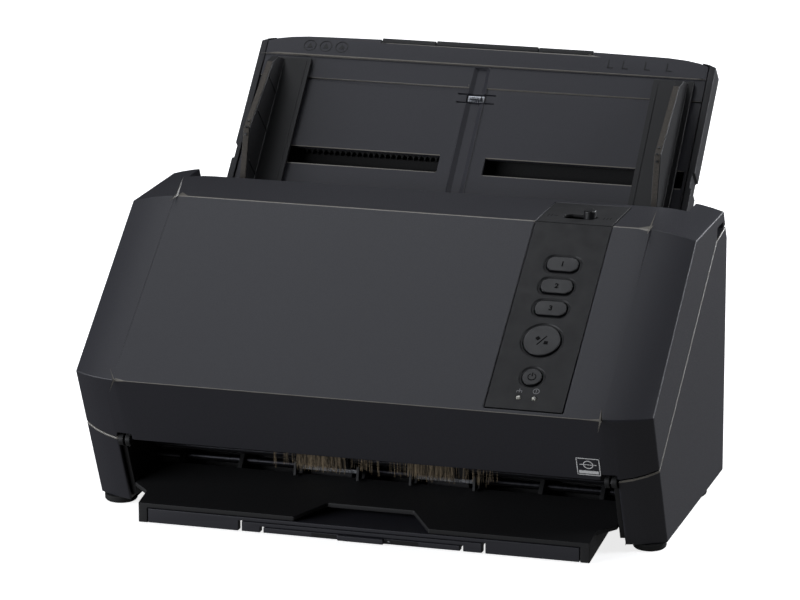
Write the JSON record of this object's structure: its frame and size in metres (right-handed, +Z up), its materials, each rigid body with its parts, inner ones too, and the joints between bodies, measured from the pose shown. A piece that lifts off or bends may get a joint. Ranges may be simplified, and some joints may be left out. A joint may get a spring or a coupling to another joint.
{
  "type": "sheet fed document scanner",
  "caption": "Desktop sheet fed document scanner with opening feeder lid, leaning chute with sliding width guides, pull-out stacker, keys and feed rollers.",
  "frame": {"origin": "centre of the bottom of the bounding box, on the surface the feet stand on", "axes": "+X right seen from the front, +Y towards the back, +Z up"},
  "size_m": [0.3, 0.255, 0.2073],
  "materials": {
    "shell_plastic": "fine textured",
    "inner_plastic": "matt",
    "chute_plastic": "fine textured",
    "strip_plastic": "satin",
    "key_plastic": "satin",
    "rubber": "matt",
    "steel": "turned",
    "sensor_glass": "clear",
    "circuit_board": "solder mask",
    "pulley_plastic": "natural acetal",
    "brush_fibre": "fine fibres",
    "lamp_lens": "frosted"
  },
  "bodies": {
    "base": {"base_pan": "inner_plastic", "side_cover_left": "shell_plastic", "side_cover_right": "shell_plastic", "side_frame_left": "inner_plastic", "side_frame_right": "inner_plastic", "hinge_pin_left": "steel", "hinge_pin_right": "steel", "foot_front_left": "rubber", "foot_rear_left": "rubber", "foot_front_right": "rubber", "foot_rear_right": "rubber", "rear_cover": "shell_plastic", "lower_guide": "inner_plastic", "drive_motor": "steel", "drive_belt": "rubber", "main_board": "circuit_board", "power_inlet": "inner_plastic", "usb_socket": "inner_plastic", "network_socket": "inner_plastic", "lower_image_sensor": "inner_plastic", "lower_glass": "sensor_glass", "stacker_tray": "shell_plastic", "chute_plate": "chute_plastic", "chute_back": "chute_plastic", "sheet_clip": "steel"},
    "lid": {"top_cover": "shell_plastic", "upper_guide": "inner_plastic", "control_strip": "strip_plastic", "button_board": "circuit_board", "lamp_left": "lamp_lens", "lamp_right": "lamp_lens", "upper_image_sensor": "inner_plastic", "upper_glass": "sensor_glass", "exit_brush_left": "brush_fibre", "exit_brush_right": "brush_fibre"},
    "button_one": {"button_one": "key_plastic"},
    "button_two": {"button_two": "key_plastic"},
    "button_three": {"button_three": "key_plastic"},
    "scan_button": {"scan_button": "key_plastic"},
    "power_button": {"power_button": "key_plastic"},
    "mode_slider": {"mode_slider": "key_plastic"},
    "release_tab": {"release_tab": "inner_plastic"},
    "brake_roller": {"brake_roller": "rubber"},
    "pinch_roller": {"pinch_roller": "rubber"},
    "exit_pinch_roller": {"exit_pinch_roller": "rubber"},
    "motor_pulley": {"motor_pulley": "pulley_plastic"},
    "pick_roller": {"pick_roller": "rubber", "pick_pulley": "pulley_plastic"},
    "feed_roller": {"feed_roller": "rubber", "feed_pulley": "pulley_plastic"},
    "eject_roller": {"eject_roller": "rubber", "eject_pulley": "pulley_plastic"},
    "guide_left": {"guide_left": "chute_plastic"},
    "guide_right": {"guide_right": "chute_plastic"},
    "guide_pinion": {"guide_pinion": "pulley_plastic"},
    "chute_extension_one": {"chute_extension_one": "chute_plastic"},
    "chute_extension_two": {"chute_extension_two": "chute_plastic"},
    "stacker_extension_one": {"stacker_extension_one": "shell_plastic"},
    "stacker_extension_two": {"stacker_extension_two": "shell_plastic"},
    "stacker_extension_three": {"stacker_extension_three": "shell_plastic"}
  },
  "joints": [
    {"name": "lid_hinge", "type": "hinge", "parent": "base", "child": "lid", "pos_m": [0, -0.10783, 0.0415], "axis": [1, 0, 0], "range_deg": [0, 85]},
    {"name": "button_one_press", "type": "slide", "parent": "lid", "child": "button_one", "axis": [0, 0.5865, -0.81], "range_m": [0, 0.001], "stiffness_N_per_m": 400, "springref_m": -0.001},
    {"name": "button_two_press", "type": "slide", "parent": "lid", "child": "button_two", "axis": [0, 0.5865, -0.81], "range_m": [0, 0.001], "stiffness_N_per_m": 400, "springref_m": -0.001},
    {"name": "button_three_press", "type": "slide", "parent": "lid", "child": "button_three", "axis": [0, 0.5865, -0.81], "range_m": [0, 0.001], "stiffness_N_per_m": 400, "springref_m": -0.001},
    {"name": "scan_button_press", "type": "slide", "parent": "lid", "child": "scan_button", "axis": [0, 0.5865, -0.81], "range_m": [0, 0.001], "stiffness_N_per_m": 400, "springref_m": -0.001},
    {"name": "power_button_press", "type": "slide", "parent": "lid", "child": "power_button", "axis": [0, 0.5865, -0.81], "range_m": [0, 0.001], "stiffness_N_per_m": 400, "springref_m": -0.001},
    {"name": "mode_slide", "type": "slide", "parent": "lid", "child": "mode_slider", "axis": [1, 0, 0], "range_m": [-0.01, 0]},
    {"name": "release_lift", "type": "slide", "parent": "lid", "child": "release_tab", "axis": [0, 0, 1], "range_m": [0, 0.002], "stiffness_N_per_m": 400, "springref_m": -0.001},
    {"name": "pick_spin", "type": "hinge", "parent": "base", "child": "pick_roller", "pos_m": [0, 0.00869, 0.08207], "axis": [1, 0, 0], "continuous": true},
    {"name": "motor_spin", "type": "hinge", "parent": "base", "child": "motor_pulley", "pos_m": [0, -0.00895, 0.03313], "axis": [1, 0, 0], "continuous": true},
    {"name": "feed_spin", "type": "hinge", "parent": "base", "child": "feed_roller", "pos_m": [0, -0.00834, 0.06799], "axis": [1, 0, 0], "continuous": true},
    {"name": "eject_spin", "type": "hinge", "parent": "base", "child": "eject_roller", "pos_m": [0, -0.05941, 0.02008], "axis": [1, 0, 0], "continuous": true},
    {"name": "brake_spin", "type": "hinge", "parent": "lid", "child": "brake_roller", "pos_m": [0, -0.00428, 0.09513], "axis": [1, 0, 0], "continuous": true},
    {"name": "pinch_spin", "type": "hinge", "parent": "lid", "child": "pinch_roller", "pos_m": [0, -0.01778, 0.0775], "axis": [1, 0, 0], "continuous": true},
    {"name": "exit_pinch_spin", "type": "hinge", "parent": "lid", "child": "exit_pinch_roller", "pos_m": [0, -0.06745, 0.02817], "axis": [1, 0, 0], "continuous": true},
    {"name": "guide_left_slide", "type": "slide", "parent": "base", "child": "guide_left", "axis": [1, 0, 0], "range_m": [0, 0.0848]},
    {"name": "guide_right_slide", "type": "slide", "parent": "base", "child": "guide_right", "axis": [1, 0, 0], "range_m": [-0.0848, 0]},
    {"name": "guide_pinion_spin", "type": "hinge", "parent": "base", "child": "guide_pinion", "pos_m": [0, 0.07125, 0.148], "axis": [0, -0.7046, 0.7096], "range_deg": [-815, 5]},
    {"name": "chute_extend_one", "type": "slide", "parent": "base", "child": "chute_extension_one", "axis": [0, 0.7096, 0.7046], "range_m": [0, 0.05]},
    {"name": "chute_extend_two", "type": "slide", "parent": "chute_extension_one", "child": "chute_extension_two", "axis": [0, 0.7096, 0.7046], "range_m": [0, 0.05]},
    {"name": "stacker_extend_one", "type": "slide", "parent": "base", "child": "stacker_extension_one", "axis": [0, -1, 0], "range_m": [0, 0.034]},
    {"name": "stacker_extend_two", "type": "slide", "parent": "stacker_extension_one", "child": "stacker_extension_two", "axis": [0, -1, 0], "range_m": [0, 0.034]},
    {"name": "stacker_extend_three", "type": "slide", "parent": "stacker_extension_two", "child": "stacker_extension_three", "axis": [0, -1, 0], "range_m": [0, 0.034]}
  ],
  "couplings": [
    {"joint": "motor_spin", "follows": "pick_spin", "ratio": 1},
    {"joint": "feed_spin", "follows": "pick_spin", "ratio": 1},
    {"joint": "eject_spin", "follows": "pick_spin", "ratio": 1},
    {"joint": "guide_right_slide", "follows": "guide_left_slide", "ratio": -1},
    {"joint": "guide_pinion_spin", "follows": "guide_left_slide", "rad_per_m": -166.67}
  ]
}
